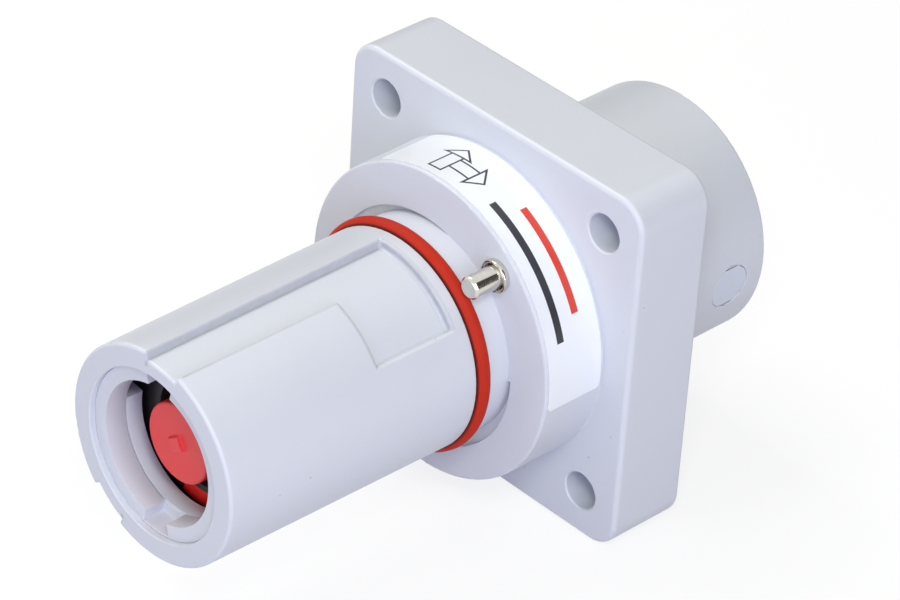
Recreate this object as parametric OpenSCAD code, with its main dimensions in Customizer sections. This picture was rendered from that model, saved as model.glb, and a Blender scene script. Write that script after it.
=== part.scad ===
// Single pole panel connector for high current, with a push and turn bayonet nose.
// The connector's axis is Y, the nose points to -Y and +Z is up.
// The origin is on the axis, in the flange's rear face, which lies on the panel.

/* [Flange] */
// Side of the square flange
flange_w = 75; // [72:0.5:90]
// Thickness of the flange
flange_t = 17; // [15:0.5:24]
// Radius of the flange's corners
flange_corner_r = 6; // [3:0.5:8]
// Rounding of the flange's edges
flange_edge_r = 1; // [0.5:0.1:2]
// Distance between hole centres along a side
hole_pitch = 56.6; // [54:0.1:60]
// Diameter of the four fixing holes
hole_d = 7.5; // [5:0.1:9]
// Chamfer on the fixing holes' edges
hole_chamfer = 0.3; // [0.1:0.1:0.8]
// Wall left round the flange by the rear pockets
pocket_wall = 6; // [4:0.5:6.5]
// Depth of the rear pockets
pocket_depth = 12; // [5:0.5:12]
// Wall left round each fixing hole by the rear pockets
boss_wall = 4.75; // [3:0.25:6]
// Wall left round the barrel by the rear pockets
barrel_web = 3; // [2:0.25:3.5]
// Radius of the rear pockets' corners
pocket_corner_r = 2; // [1:0.25:3]

/* [Collar] */
// Diameter of the collar
collar_d = 62; // [60:0.5:64]
// Length of the collar in front of the flange
collar_len = 14; // [12:0.5:20]
// Rounding of the collar's front edge
collar_edge_r = 0.6; // [0.3:0.1:1]
// Greatest width of the off-centre relief groove round the nose's root
relief_w = 4.6; // [3.5:0.1:5.5]
// Offset of the relief groove from the axis, away from the locking pin
relief_shift = 2.4; // [1.8:0.1:3]
// Depth of the relief groove
relief_depth = 1.4; // [0.4:0.1:2]
// Angle at which the relief groove starts
relief_from = 80; // [70:1:100]
// Sweep of the relief groove
relief_sweep = 277; // [200:1:290]

/* [Nose] */
// Length of the nose in front of the collar
nose_len = 65; // [60:0.5:80]
// Width of the collar's face round the nose
collar_face = 9.4; // [8.5:0.1:12]
// Loss of diameter from the nose's root to its tip
nose_taper = 1.1; // [0.5:0.1:1.6]
// Step down from the nose to its root behind the seal
root_step = 0.3; // [0.1:0.05:0.6]
// Rounding of the nose's rim
rim_r = 0.7; // [0.5:0.1:1.5]
// Wall of the nose round its mouth
nose_wall = 4.4; // [3.5:0.1:5]
// Chamfer on the mouth's edge
mouth_chamfer = 0.2; // [0.1:0.1:0.8]

/* [Bayonet channels] */
// Depth of the channels in the tapered nose
channel_depth = 1.5; // [0.8:0.05:1.8]
// Width of a channel as an angle
channel_angle = 22.5; // [16:0.5:28]
// Sweep of the locking pocket, with the channel's own width
lock_sweep = 60; // [45:1:75]
// Distance from the collar to the pocket's rear wall
lock_back = 11; // [10:0.5:16]
// Length of the locking pocket along the axis
lock_len = 17.3; // [12:0.1:22]
// Angle of the first channel's left wall
first_channel = 95.5; // [85:0.5:105]
// Angle of the second channel's left wall
second_channel = 247; // [235:0.5:260]

/* [Nose seal] */
// Thickness of the seal's section
seal_section = 3; // [2.5:0.1:4]
// How far the seal stands out of the nose
seal_proud = 1.15; // [0.7:0.05:1.6]
// Distance from the collar to the seal's middle
seal_back = 6.4; // [5:0.1:7.5]

/* [Coding ring] */
// Distance from the rim to the ring's face
ring_recess = 1.2; // [0.8:0.1:1.5]
// Length of the ring
ring_len = 4.5; // [3.5:0.1:6]
// Wall of the ring
ring_wall = 2.95; // [2.5:0.05:3.5]
// Wall left outside the ring's key notches
notch_web = 0.4; // [0.3:0.05:0.8]
// Width of each key notch as an angle
notch_angle = 20.5; // [12:0.5:26]
// Middle of the lower key notch
lower_notch = -92.75; // [-110:0.25:-80]
// Middle of the upper key notch
upper_notch = 99.75; // [85:0.25:115]

/* [Socket contact] */
// Width of the housing's shoulder between the mouth and the contact
mouth_shoulder = 1.15; // [0.8:0.05:2]
// Wall of the socket
socket_wall = 4.7; // [4:0.1:5.5]
// Distance from the rim to the socket's front end
socket_recess = 13.2; // [12:0.1:15]
// Distance from the rim to the socket's floor
floor_recess = 50; // [46:0.5:54]
// Step from the contact's round body to each flat of its hexagonal rear body
hex_step = 1.5; // [1:0.1:2]
// Distance from the panel face to the hexagonal body's front
hex_front = 4; // [2:0.5:8]
// How far the terminal stands out of the barrel
terminal_proud = 1; // [0.5:0.1:3]
// Step from each flat to the terminal's round end
terminal_step = 3; // [1.5:0.1:4]
// Height of the terminal's round end
terminal_h = 3; // [2:0.5:5]
// Drilled diameter of the terminal's tapped hole
thread_d = 10.2; // [8:0.1:12]
// Depth of the terminal's tapped hole
thread_depth = 24; // [18:0.5:26]
// Section of the two seals round the contact
contact_seal_section = 2.3; // [1.8:0.1:2.6]
// Distance from the panel face to the middle of the two seals
contact_seal_front = 8; // [7:0.5:12]
// Distance between the two seals
contact_seal_pitch = 8; // [5:0.5:10]

/* [Contact bands] */
// Length of each louvred band
band_len = 8; // [6:0.5:9]
// Depth of each band's groove in the bore
band_groove = 1.1; // [0.8:0.1:1.4]
// Thickness of the band's strip
band_t = 0.35; // [0.2:0.05:0.5]
// How far each band stands into the bore
band_crown = 0.2; // [0.1:0.05:0.4]
// Distance from the socket's front end to the first band's middle
band_first = 11; // [10:0.5:14]
// Distance between the bands
band_pitch = 13; // [11:0.5:16]
// Number of slots in each band
band_slots = 20; // [12:1:28]
// Width of each slot
slot_w = 0.9; // [0.5:0.1:1.2]

/* [Touch guard] */
// Gap between the touch post and the socket for the plug's tube
plug_gap = 3; // [2.5:0.1:3.5]
// Distance from the rim to the post's face
post_recess = 6; // [5:0.1:8]
// Rounding of the post's edge
post_edge_r = 0.5; // [0.2:0.1:1.5]
// Size across the corners of the raised square on the post
mark_w = 4.8; // [3:0.1:6]
// Slope of the raised square's sides, as a loss of size at its top
mark_slope = 1; // [0.2:0.1:2]
// Height of the raised square
mark_h = 0.8; // [0.3:0.1:1.2]
// Turn of the raised square
mark_turn = 12; // [0:1:45]
// Gap between the mouth's wall and the guard ring's flange
guard_gap = 0.3; // [0.1:0.05:0.6]
// Thickness of the guard ring's flange
guard_t = 2; // [1.5:0.1:2.5]
// Length of the guard ring's spigot
guard_spigot = 4; // [3:0.1:5]
// Wall of the guard ring's spigot
guard_wall = 1.5; // [1:0.1:2]
// Diameter of the post's screw
screw_d = 5; // [4:0.5:5]
// Length of the post's screw
screw_len = 22; // [18:1:30]
// Thickness of the contact between the screw's head and the post
screw_seat = 10; // [8:0.5:14]

/* [Locking pin] */
// Diameter of the pin
pin_d = 4.4; // [3.6:0.1:4.8]
// Distance from the nose's root to the pin's middle
pin_gap = 4.15; // [3.9:0.05:4.8]
// Angle of the pin round the axis
pin_angle = 49; // [40:1:60]
// How far the pin stands out of the collar
pin_out = 7.2; // [5:0.1:8]
// Length of the pin's shoulder
shoulder_len = 2; // [1.5:0.1:3]
// Step from the pin to its shoulder
shoulder_step = 0.4; // [0.3:0.05:0.5]
// Length of the bush inside the collar
bush_len = 6; // [5:0.5:7]
// Wall of the bush
bush_wall = 0.6; // [0.5:0.05:0.8]
// How far the bush's rim stands out past its barrel
bush_rim = 0.35; // [0.25:0.05:0.8]
// Height of the bush's rim above the collar
bush_rim_h = 1.3; // [0.9:0.1:2]
// Rounding of the bush's rim
bush_rim_r = 0.4; // [0.2:0.05:0.4]
// Width of the bush's flared mouth
bush_flare = 0.45; // [0.2:0.05:0.45]
// Depth of the bush's flared mouth
bush_flare_depth = 0.8; // [0.4:0.1:1]
// Length of the pin's tail inside the spring
tail_len = 5; // [3:0.5:5.5]
// Length of the spring as fitted
spring_len = 14; // [12.5:0.5:14]
// Diameter of the spring's wire
wire_d = 0.6; // [0.4:0.05:0.7]
// Turns of the spring
spring_turns = 8; // [6:1:9]

/* [Rear barrel] */
// Diameter of the barrel
barrel_d = 49.5; // [48:0.5:51]
// Length of the barrel behind the flange
barrel_len = 32; // [30:0.5:40]
// Rounding of the barrel's rear edge
barrel_edge_r = 0.8; // [0.4:0.1:2]
// Diameter of the locking peg
peg_d = 9; // [6:0.1:10]
// Distance from the panel face to the peg
peg_back = 23; // [14:0.5:24]
// Angle of the peg round the axis
peg_angle = -5; // [-15:1:15]
// Depth of the peg in the contact
peg_depth = 5; // [3:0.5:6]

/* [Label] */
// Angle at which the label starts
label_from = -5.5; // [-20:0.5:10]
// Angle at which the label ends
label_to = 119; // [90:0.5:130]
// Width of the label along the axis
label_w = 12.8; // [8:0.1:12.8]
// Radius of the label's corners
label_corner_r = 1; // [0.5:0.25:4]
// Gap between the label and the flange
label_gap = 0.5; // [0.3:0.1:2]
// Thickness of the label
label_t = 0.15; // [0.1:0.01:0.3]

/* [Clearances] */
// Radial clearance of pieces that are pressed or pushed together
fit_gap = 0.05; // [0.03:0.01:0.1]
// Radial clearance of the pin in its bush
running_gap = 0.05; // [0.03:0.01:0.1]
// Clearance of loose round pieces
free_gap = 0.3; // [0.2:0.05:0.5]
// Clearance between the spring and the pin's tail
spring_gap = 0.2; // [0.1:0.05:0.3]
// Clearance on each flat of the hexagonal body
hex_gap = 0.15; // [0.05:0.05:0.3]
// Clearance under the label's adhesive
label_lift = 0.02; // [0.01:0.01:0.05]

/* [Hidden] */
$fn = 128;
flange_front = -flange_t;
collar_front = flange_front - collar_len;
nose_root_d = collar_d - 2 * collar_face;
nose_tip_d = nose_root_d - nose_taper;
mouth_d = nose_tip_d - 2 * nose_wall;
seal_outer_d = nose_root_d + 2 * seal_proud;
ring_bore_d = mouth_d - 2 * ring_wall;
contact_d = mouth_d - 2 * mouth_shoulder;
socket_bore_d = contact_d - 2 * socket_wall;
hex_af = contact_d + 2 * hex_step;
terminal_d = hex_af - 2 * terminal_step;
post_d = socket_bore_d - 2 * plug_gap;
guard_d = mouth_d - 2 * guard_gap;
pin_offset = nose_root_d / 2 + pin_gap;
nose_front = collar_front - nose_len;
ring_front = nose_front + ring_recess;
ring_back = ring_front + ring_len;
post_front = nose_front + post_recess;
socket_front = nose_front + socket_recess;
socket_floor = nose_front + floor_recess;
seal_y = collar_front - seal_back;
lock_rear = collar_front - lock_back;
contact_bore_d = contact_d + 2 * fit_gap;
terminal_back = barrel_len + terminal_proud;
hex_back = terminal_back - terminal_h;
spigot_bore_d = socket_bore_d + 2 * guard_wall;
guard_bore_d = socket_bore_d + 2 * fit_gap;
groove_d = socket_bore_d + 2 * band_groove;
contact_groove_d = contact_d - 2 * contact_seal_section;
screw_head_d = 1.7 * screw_d;
driver_bore_d = screw_head_d + 2 * free_gap;
screw_top = socket_floor + screw_seat;
bush_bore_d = pin_d + 2 * running_gap;
bush_d = bush_bore_d + 2 * bush_wall;
pin_bore_d = bush_d + 2 * fit_gap;
bush_back = collar_front + bush_len;
shoulder_d = pin_d + 2 * shoulder_step;
shoulder_back = bush_back + fit_gap + shoulder_len;
pin_floor = shoulder_back + spring_len;
wire_r = wire_d / 2;
tail_d = pin_d - 2 * wire_d - 2 * shoulder_step;
coil_r = tail_d / 2 + wire_r + spring_gap;
label_r = collar_d / 2 + label_lift;
label_ease = 1.02;
label_back = flange_front - label_gap;
over = 1;
grey = [0.77, 0.79, 0.82];
plug_grey = [0.74, 0.78, 0.82];
red = [0.80, 0.14, 0.13];
orange_red = [0.78, 0.17, 0.10];
silver = [0.86, 0.85, 0.82];
copper = [0.80, 0.62, 0.40];
nickel = [0.78, 0.76, 0.71];
steel = [0.55, 0.56, 0.58];
black = [0.08, 0.08, 0.08];
white = [0.95, 0.96, 0.98];

// Lays a piece that is modelled along Z on the connector's axis
module along_y() {
  rotate([-90, 0, 0]) children();
}

// Turns a piece that points along +X to an angle round the axis
module at_angle(angle) {
  rotate([0, -angle, 0]) children();
}

// Round bar on the axis between two places
module bar(d, from, to) {
  along_y() translate([0, 0, from]) cylinder(d = d, h = to - from);
}

// Hexagonal bar on the axis, with a flat that faces the locking peg
module hex_bar(af, from, to) {
  along_y() rotate([0, 0, 30 - peg_angle]) translate([0, 0, from])
    cylinder(d = af / cos(30), h = to - from, $fn = 6);
}

// Part of a ring on the axis, between two angles
module sector(inner_r, outer_r, from, to, start, end) {
  along_y() rotate([0, 0, -end]) rotate_extrude(angle = end - start)
    translate([inner_r, from]) square([outer_r - inner_r, to - from]);
}

// Ring of round section on the axis
module torus(outer_d, section, y) {
  along_y() rotate_extrude()
    translate([(outer_d - section) / 2, y]) circle(d = section, $fn = 48);
}

// Round bar along a radius
module radial_bar(d, from, to, y, angle) {
  at_angle(angle) translate([from, y, 0]) rotate([0, 90, 0]) cylinder(d = d, h = to - from);
}

// Cuts a convex corner of a profile to an arc; x_side and y_side say where the outside is.
// An ease above 1 lets the arc meet the edges at a slight angle.
module round_corner(x, y, r, x_side, y_side, ease = 1) {
  translate([x - x_side * r, y - y_side * r]) difference() {
    translate([x_side > 0 ? 0 : -r - over, y_side > 0 ? 0 : -r - over]) square(r + over);
    circle(r * ease);
  }
}

// Lays a piece that is modelled along Y on the axis at the locking pin's place
module at_pin() {
  at_angle(pin_angle) translate([pin_offset, 0, 0]) children();
}

// Square with round corners
module rounded_square(w, r) {
  square([w, w - 2 * r], center = true);
  square([w - 2 * r, w], center = true);
  for (x = [-1, 1], z = [-1, 1]) translate([x * (w / 2 - r), z * (w / 2 - r)]) circle(r);
}

// Disc with round edges, the corner of the flange
module flange_corner() {
  inner = flange_corner_r - flange_edge_r;
  rotate_extrude($fn = 64) {
    translate([0, flange_edge_r]) square([flange_corner_r, flange_t - 2 * flange_edge_r]);
    square([inner, flange_t]);
    for (y = [flange_edge_r, flange_t - flange_edge_r]) translate([inner, y]) intersection() {
      circle(flange_edge_r, $fn = 24);
      translate([0, -flange_edge_r]) square([flange_edge_r, 2 * flange_edge_r]);
    }
  }
}

// Square flange with round corners and edges
module flange_plate() {
  reach = flange_w / 2 - flange_corner_r;
  along_y() translate([0, 0, flange_front]) hull() {
    for (x = [-1, 1], z = [-1, 1]) translate([x * reach, z * reach, 0]) flange_corner();
  }
}

// Outer profile of the collar and the barrel
module body_profile() {
  difference() {
    union() {
      translate([0, collar_front]) square([collar_d / 2, collar_len + over]);
      translate([0, -over]) square([barrel_d / 2, barrel_len + over]);
    }
    round_corner(collar_d / 2, collar_front, collar_edge_r, 1, -1);
    round_corner(barrel_d / 2, barrel_len, barrel_edge_r, 1, 1);
  }
}

// Outer profile of the tapered nose, whose root goes into the collar
module nose_profile() {
  root_r = nose_root_d / 2;
  tip_r = nose_tip_d / 2;
  nose_back = collar_front + collar_len / 2;
  difference() {
    polygon([[0, nose_front], [tip_r, nose_front], [tip_r, nose_front + 2 * rim_r], [root_r, seal_y],
      [root_r - root_step, seal_y], [root_r - root_step, nose_back], [0, nose_back]]);
    round_corner(tip_r, nose_front, rim_r, 1, -1);
  }
}

// Pockets that keep the flange's walls even, seen from the rear
module pocket_outline() {
  difference() {
    rounded_square(flange_w - 2 * pocket_wall, pocket_corner_r);
    circle(d = barrel_d + 2 * barrel_web);
    for (x = [-1, 1], z = [-1, 1])
      translate([x * hole_pitch / 2, z * hole_pitch / 2]) circle(d = hole_d + 2 * boss_wall);
    rotate([0, 0, -pin_angle]) translate([pin_offset, 0]) circle(d = pin_bore_d + boss_wall);
  }
}

// Mouth, contact bore and hexagonal rear opening of the housing
module housing_bores() {
  mouth_r = mouth_d / 2;
  along_y() rotate_extrude() polygon([[0, nose_front - over],
    [mouth_r + mouth_chamfer + over, nose_front - over], [mouth_r, nose_front + mouth_chamfer],
    [mouth_r, socket_front], [0, socket_front]]);
  bar(contact_bore_d, socket_front - over, hex_front + over);
  hex_bar(hex_af + 2 * hex_gap, hex_front, barrel_len + over);
}

// Radius of the tapered nose at a place along the axis
function nose_r(y) =
  let (taper_front = nose_front + 2 * rim_r)
  (nose_tip_d + nose_taper * (y - taper_front) / (seal_y - taper_front)) / 2;

// Entry channel and locking pocket for one lug of the mating plug, as deep all over
module bayonet_channel(left) {
  inner_r = mouth_d / 2;
  outer_r = nose_root_d / 2 + over;
  front = nose_front - over;
  intersection() {
    along_y() rotate_extrude() polygon([[nose_r(front) - channel_depth, front], [outer_r, front],
      [outer_r, lock_rear], [nose_r(lock_rear) - channel_depth, lock_rear]]);
    union() {
      sector(inner_r, collar_d, front, lock_rear + over, left - channel_angle, left);
      sector(inner_r, collar_d, lock_rear - lock_len, lock_rear + over, left - lock_sweep, left);
    }
  }
}

// Groove that holds the nose seal
module seal_groove() {
  floor_r = seal_outer_d / 2 - seal_section - fit_gap;
  width = seal_section + free_gap;
  along_y() rotate_extrude() translate([floor_r, seal_y - width / 2]) square([nose_root_d, width]);
}

// Flange, collar and barrel, with the off-centre relief groove round the nose's root
module mounting_body() {
  root_r = nose_root_d / 2 - root_step;
  relief_r = root_r + relief_w - relief_shift;
  difference() {
    union() {
      flange_plate();
      along_y() rotate_extrude() body_profile();
    }
    intersection() {
      at_angle(pin_angle + 180) translate([relief_shift, 0, 0])
        bar(2 * relief_r, collar_front - over, collar_front + relief_depth);
      sector(root_r / 2, collar_d, collar_front - over, collar_front + relief_depth,
        relief_from, relief_from + relief_sweep);
    }
  }
}

// Hole through the flange with its edges chamfered
module fixing_hole() {
  hole_r = hole_d / 2;
  wide_r = hole_r + hole_chamfer + over;
  along_y() rotate_extrude() polygon([[0, flange_front - over], [wide_r, flange_front - over],
    [hole_r, flange_front + hole_chamfer], [hole_r, -hole_chamfer], [wide_r, over], [0, over]]);
}

// Grey moulded body
module housing() {
  color(grey) difference() {
    union() {
      mounting_body();
      along_y() rotate_extrude() nose_profile();
    }
    housing_bores();
    seal_groove();
    bayonet_channel(first_channel);
    bayonet_channel(second_channel);
    for (x = [-1, 1], z = [-1, 1]) translate([x * hole_pitch / 2, 0, z * hole_pitch / 2]) fixing_hole();
    along_y() translate([0, 0, -pocket_depth]) linear_extrude(pocket_depth + over) pocket_outline();
    at_pin() bar(pin_bore_d, collar_front - over, pin_floor);
    radial_bar(peg_d, hex_af / 4, barrel_d, peg_back, peg_angle);
  }
}

// Keyed ring in the nose's mouth
module coding_ring() {
  ring_r = mouth_d / 2 - fit_gap;
  bore_r = ring_bore_d / 2;
  color(grey) difference() {
    along_y() rotate_extrude() translate([bore_r, ring_front]) square([ring_r - bore_r, ring_len]);
    for (middle = [lower_notch, upper_notch])
      sector(bore_r - over, ring_r - notch_web, ring_front - over, ring_back + over,
        middle - notch_angle / 2, middle + notch_angle / 2);
  }
}

// Red insulating post that keeps fingers out of the socket
module touch_post() {
  post_r = post_d / 2;
  color(red) difference() {
    union() {
      along_y() rotate_extrude() difference() {
        translate([0, post_front]) square([post_r, socket_floor - post_front]);
        round_corner(post_r, post_front, post_edge_r, 1, -1);
      }
      along_y() rotate([0, 0, mark_turn]) translate([0, 0, post_front - mark_h])
        cylinder(d1 = mark_w - mark_slope, d2 = mark_w, h = mark_h + post_edge_r, $fn = 4);
    }
    bar(screw_d + 2 * fit_gap, screw_top - screw_len - over, socket_floor + over);
  }
}

// Red insulating ring on the socket's front end
module guard_ring() {
  color(red) difference() {
    union() {
      bar(guard_d, socket_front - guard_t, socket_front);
      bar(spigot_bore_d - 2 * fit_gap, socket_front - over, socket_front + guard_spigot - fit_gap);
    }
    bar(guard_bore_d, socket_front - guard_t - over, socket_front + guard_spigot + over);
  }
}

// Cap screw that holds the post to the socket's floor
module post_screw() {
  head_h = screw_d;
  key_af = 0.8 * screw_d;
  color(steel) difference() {
    union() {
      bar(screw_d, screw_top - screw_len, screw_top + over);
      bar(screw_head_d, screw_top, screw_top + head_h);
    }
    along_y() translate([0, 0, screw_top + head_h / 2])
      cylinder(d = key_af / cos(30), h = head_h, $fn = 6);
  }
}

// Groove round the contact for one seal
module contact_groove(y) {
  width = contact_seal_section + 2 * free_gap;
  along_y() rotate_extrude()
    translate([contact_groove_d / 2, y - width / 2]) square([contact_d, width]);
}

// Silver plated socket, turned from hexagonal bar
module socket_contact() {
  hex_corner = hex_af / cos(30) / 2;
  hex_chamfer = hex_corner - hex_af / 2;
  color(silver) difference() {
    union() {
      bar(contact_d, socket_front, hex_front + over);
      intersection() {
        hex_bar(hex_af, hex_front, hex_back);
        along_y() rotate_extrude() polygon([[0, hex_front - over], [hex_corner, hex_front - over],
          [hex_corner, hex_back - hex_chamfer / 2], [hex_corner - hex_chamfer, hex_back], [0, hex_back]]);
      }
      bar(terminal_d, hex_back - over, terminal_back);
    }
    bar(socket_bore_d, socket_front - over, socket_floor);
    bar(spigot_bore_d, socket_front - over, socket_front + guard_spigot);
    for (i = [0, 1])
      bar(groove_d, band_middle(i) - band_len / 2 - fit_gap, band_middle(i) + band_len / 2 + fit_gap);
    for (i = [0, 1]) contact_groove(-contact_seal_front + (i - 1) * contact_seal_pitch);
    bar(thread_d, terminal_back - thread_depth, terminal_back + over);
    bar(driver_bore_d, screw_top, terminal_back);
    bar(screw_d + 2 * free_gap, socket_floor - over, screw_top + over);
    radial_bar(peg_d, hex_af / 2 - peg_depth, hex_af, peg_back, peg_angle);
  }
}

// Middle of a contact band along the axis
function band_middle(i) = socket_front + band_first + i * band_pitch;

// Louvred spring strip that bulges into the socket's bore
module contact_band(middle) {
  foot_r = groove_d / 2 - fit_gap;
  crown_r = socket_bore_d / 2 - band_crown;
  half = band_len / 2;
  color(copper) difference() {
    along_y() translate([0, 0, middle]) rotate_extrude() polygon([[foot_r, -half], [foot_r - band_t, -half],
      [crown_r, 0], [foot_r - band_t, half], [foot_r, half], [crown_r + band_t, 0]]);
    for (i = [0 : band_slots - 1]) at_angle(i * 360 / band_slots)
      translate([0, middle - half * 0.75, -slot_w / 2]) cube([groove_d, half * 1.5, slot_w]);
  }
}

// First louvred band in the socket
module contact_band_front() {
  contact_band(band_middle(0));
}

// Second louvred band in the socket
module contact_band_rear() {
  contact_band(band_middle(1));
}

// Rubber ring between the contact and the housing
module contact_seal(i) {
  color(black) torus(contact_d - fit_gap, contact_seal_section - fit_gap,
    -contact_seal_front + (i - 1) * contact_seal_pitch);
}

// Front seal of the contact
module contact_seal_front_ring() {
  contact_seal(0);
}

// Rear seal of the contact
module contact_seal_rear_ring() {
  contact_seal(1);
}

// Plastic peg that locks the contact in the barrel
module locking_peg() {
  color(plug_grey) intersection() {
    radial_bar(peg_d - 2 * fit_gap, hex_af / 2 - peg_depth + fit_gap, barrel_d, peg_back, peg_angle);
    bar(barrel_d - 4 * fit_gap, 0, barrel_len);
  }
}

// Orange red O-ring at the nose's root
module nose_seal() {
  color(orange_red) torus(seal_outer_d, seal_section, seal_y);
}

// Plated bush that guides the locking pin, with a flared mouth
module pin_bush() {
  bore_r = bush_bore_d / 2;
  lip_r = bush_d / 2 + bush_rim;
  rim_front = collar_front - bush_rim_h;
  color(nickel) at_pin() along_y() rotate_extrude() difference() {
    polygon([[bore_r, bush_back], [bore_r, rim_front + bush_flare_depth], [bore_r + bush_flare, rim_front],
      [lip_r, rim_front], [lip_r, collar_front], [bush_d / 2, collar_front], [bush_d / 2, bush_back]]);
    round_corner(lip_r, rim_front, bush_rim_r, 1, -1);
  }
}

// Plated pin that locks the mating plug
module locking_pin() {
  tip = collar_front - pin_out;
  tip_chamfer = pin_d / 10;
  color(nickel) at_pin() along_y() rotate_extrude() polygon([[0, tip], [pin_d / 2 - tip_chamfer, tip],
    [pin_d / 2, tip + tip_chamfer], [pin_d / 2, bush_back + fit_gap], [shoulder_d / 2, bush_back + fit_gap],
    [shoulder_d / 2, shoulder_back], [tail_d / 2, shoulder_back], [tail_d / 2, shoulder_back + tail_len],
    [0, shoulder_back + tail_len]]);
}

// Height of the spring's wire after a number of turns: its first and last turns lie closed
function coil_y(turn) =
  let (rise = (spring_len - 3 * wire_d - 2 * fit_gap) / (spring_turns - 2))
  wire_r + fit_gap + (turn < 1 ? turn * wire_d
    : turn > spring_turns - 1 ? wire_d + rise * (spring_turns - 2) + (turn - spring_turns + 1) * wire_d
    : wire_d + rise * (turn - 1));

// Compression spring behind the locking pin
module pin_spring() {
  sides = 6;
  steps = 12 * spring_turns;
  rings = [for (i = [0 : steps]) for (k = [0 : sides - 1])
    let (turn = i * spring_turns / steps, r = coil_r + wire_r * cos(k * 360 / sides))
    [r * cos(turn * 360), r * sin(turn * 360), coil_y(turn) + wire_r * sin(k * 360 / sides)]];
  walls = [for (i = [0 : steps - 1]) for (k = [0 : sides - 1])
    let (a = i * sides + k, b = i * sides + (k + 1) % sides)
    [a, a + sides, b + sides, b]];
  first_cap = [for (k = [0 : sides - 1]) k];
  last_cap = [for (k = [sides - 1 : -1 : 0]) steps * sides + k];
  color(steel) at_pin() along_y() translate([0, 0, shoulder_back])
    polyhedron(rings, concat(walls, [first_cap, last_cap]));
}

// White label round the collar
module label() {
  label_front = label_back - label_w;
  color(white) difference() {
    sector(label_r, label_r + label_t, label_front, label_back, label_from, label_to);
    for (end = [-1, 1], side = [-1, 1])
      at_angle(end < 0 ? label_from : label_to) translate([label_r - over, 0, 0]) rotate([0, 90, 0])
        linear_extrude(2 * over)
          round_corner(0, side < 0 ? label_front : label_back, label_corner_r, -end, side, label_ease);
  }
}

housing();
coding_ring();
touch_post();
guard_ring();
post_screw();
socket_contact();
contact_band_front();
contact_band_rear();
contact_seal_front_ring();
contact_seal_rear_ring();
locking_peg();
nose_seal();
pin_bush();
locking_pin();
pin_spring();
label();
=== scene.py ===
import math

import bmesh
import bpy
from mathutils import Matrix, Vector


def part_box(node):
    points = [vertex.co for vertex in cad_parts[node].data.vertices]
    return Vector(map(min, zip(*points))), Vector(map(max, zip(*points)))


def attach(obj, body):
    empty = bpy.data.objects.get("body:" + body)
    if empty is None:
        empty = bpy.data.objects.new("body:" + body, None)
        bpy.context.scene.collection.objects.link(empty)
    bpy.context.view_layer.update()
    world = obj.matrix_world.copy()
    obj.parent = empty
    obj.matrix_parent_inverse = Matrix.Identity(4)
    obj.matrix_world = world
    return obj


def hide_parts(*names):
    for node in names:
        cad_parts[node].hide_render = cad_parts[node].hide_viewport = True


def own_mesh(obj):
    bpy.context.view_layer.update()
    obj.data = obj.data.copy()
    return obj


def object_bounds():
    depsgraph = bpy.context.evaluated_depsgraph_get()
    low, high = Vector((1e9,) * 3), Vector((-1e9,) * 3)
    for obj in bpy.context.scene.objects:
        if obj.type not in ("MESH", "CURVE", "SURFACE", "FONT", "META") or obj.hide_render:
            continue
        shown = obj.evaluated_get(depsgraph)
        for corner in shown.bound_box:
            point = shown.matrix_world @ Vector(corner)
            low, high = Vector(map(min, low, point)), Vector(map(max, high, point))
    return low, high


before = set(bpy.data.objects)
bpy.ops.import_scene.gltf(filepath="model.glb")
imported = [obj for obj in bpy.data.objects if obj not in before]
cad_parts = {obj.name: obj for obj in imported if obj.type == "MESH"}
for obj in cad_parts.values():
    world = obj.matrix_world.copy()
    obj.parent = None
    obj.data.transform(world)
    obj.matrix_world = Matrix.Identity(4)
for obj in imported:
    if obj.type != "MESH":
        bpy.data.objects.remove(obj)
cad_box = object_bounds()


# Housing: one thick moulding of light grey nylon that carries everything else. Nose, collar, square flange
# and rear barrel come out of the mould together, with softened edges, a fine grain and a few dark specks.
# The corners of the bayonet channels carry painted shade, and the mouth behind the coding ring is painted
# near black as shade.
MM = 0.001
SEW_GAP = 0.002 * MM
FLAT_ANGLE = math.radians(0.3)
CREASE_ANGLE = math.radians(28)
CORNER_ANGLE = math.radians(50)
STUB = 0.09 * MM
HOUSING_EDGE = 1.0 * MM
EDGE_STEPS = 3
COLLAR_FACE = -31.0 * MM
RELIEF_REACH = 2.0 * MM
BAYONET_BACK = -41.0 * MM
POCKET_REAR = -42.0 * MM
POCKET_FRONT = -59.3 * MM
POCKET_REACH = 0.2 * MM
POCKET_SWEEP = 60.0
RIM_BACK = -94.3 * MM
CHANNEL_FLOOR_R = 19.2 * MM
CHANNEL_TOP_R = 20.8 * MM
CHANNEL_RIGHT_WALLS = (73.0, -135.5)
CHANNEL_LEFT_WALLS = (95.5, -113.0)
WALL_TURN = 2.0
LUG_SOFTNESS = 1.0
BAYONET_SOFTNESS = 0.5
BODY_SOFTNESS = 0.2
RELIEF_SOFTNESS = 0.1
MELT_GREY = (0.622, 0.644, 0.704)
MELT_PALE = (0.652, 0.674, 0.732)
MELT_ROUGHNESS = (0.36, 0.52)
DRIFT_SIZE = 16 * MM
DRIFT_SHARE = 0.6
MOTTLE_SIZE = 1.5 * MM
MOTTLE_SHARE = 0.4
SPECK_GREY = (0.30, 0.30, 0.33)
SPECK_SPACING = 7 * MM
SPECK_R = 0.2 * MM
SPECK_STRENGTH = 0.7
GRAIN_SIZE = 0.25 * MM
WAVE_SIZE = 5 * MM
WAVE_HEIGHT = 2.0
GRAIN_DEPTH = 0.006 * MM
# Painted shade in the corners of the bayonet channels: its grey, strength, place, width and reach
CORNER_SHADE_GREY = (0.30, 0.315, 0.355)
CORNER_SHADE_STRENGTH = (0.45, 0.75)
CORNER_SHIFT = 0.23
CORNER_TURN = 2.06
CORNER_REACH = 0.9 * MM
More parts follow.
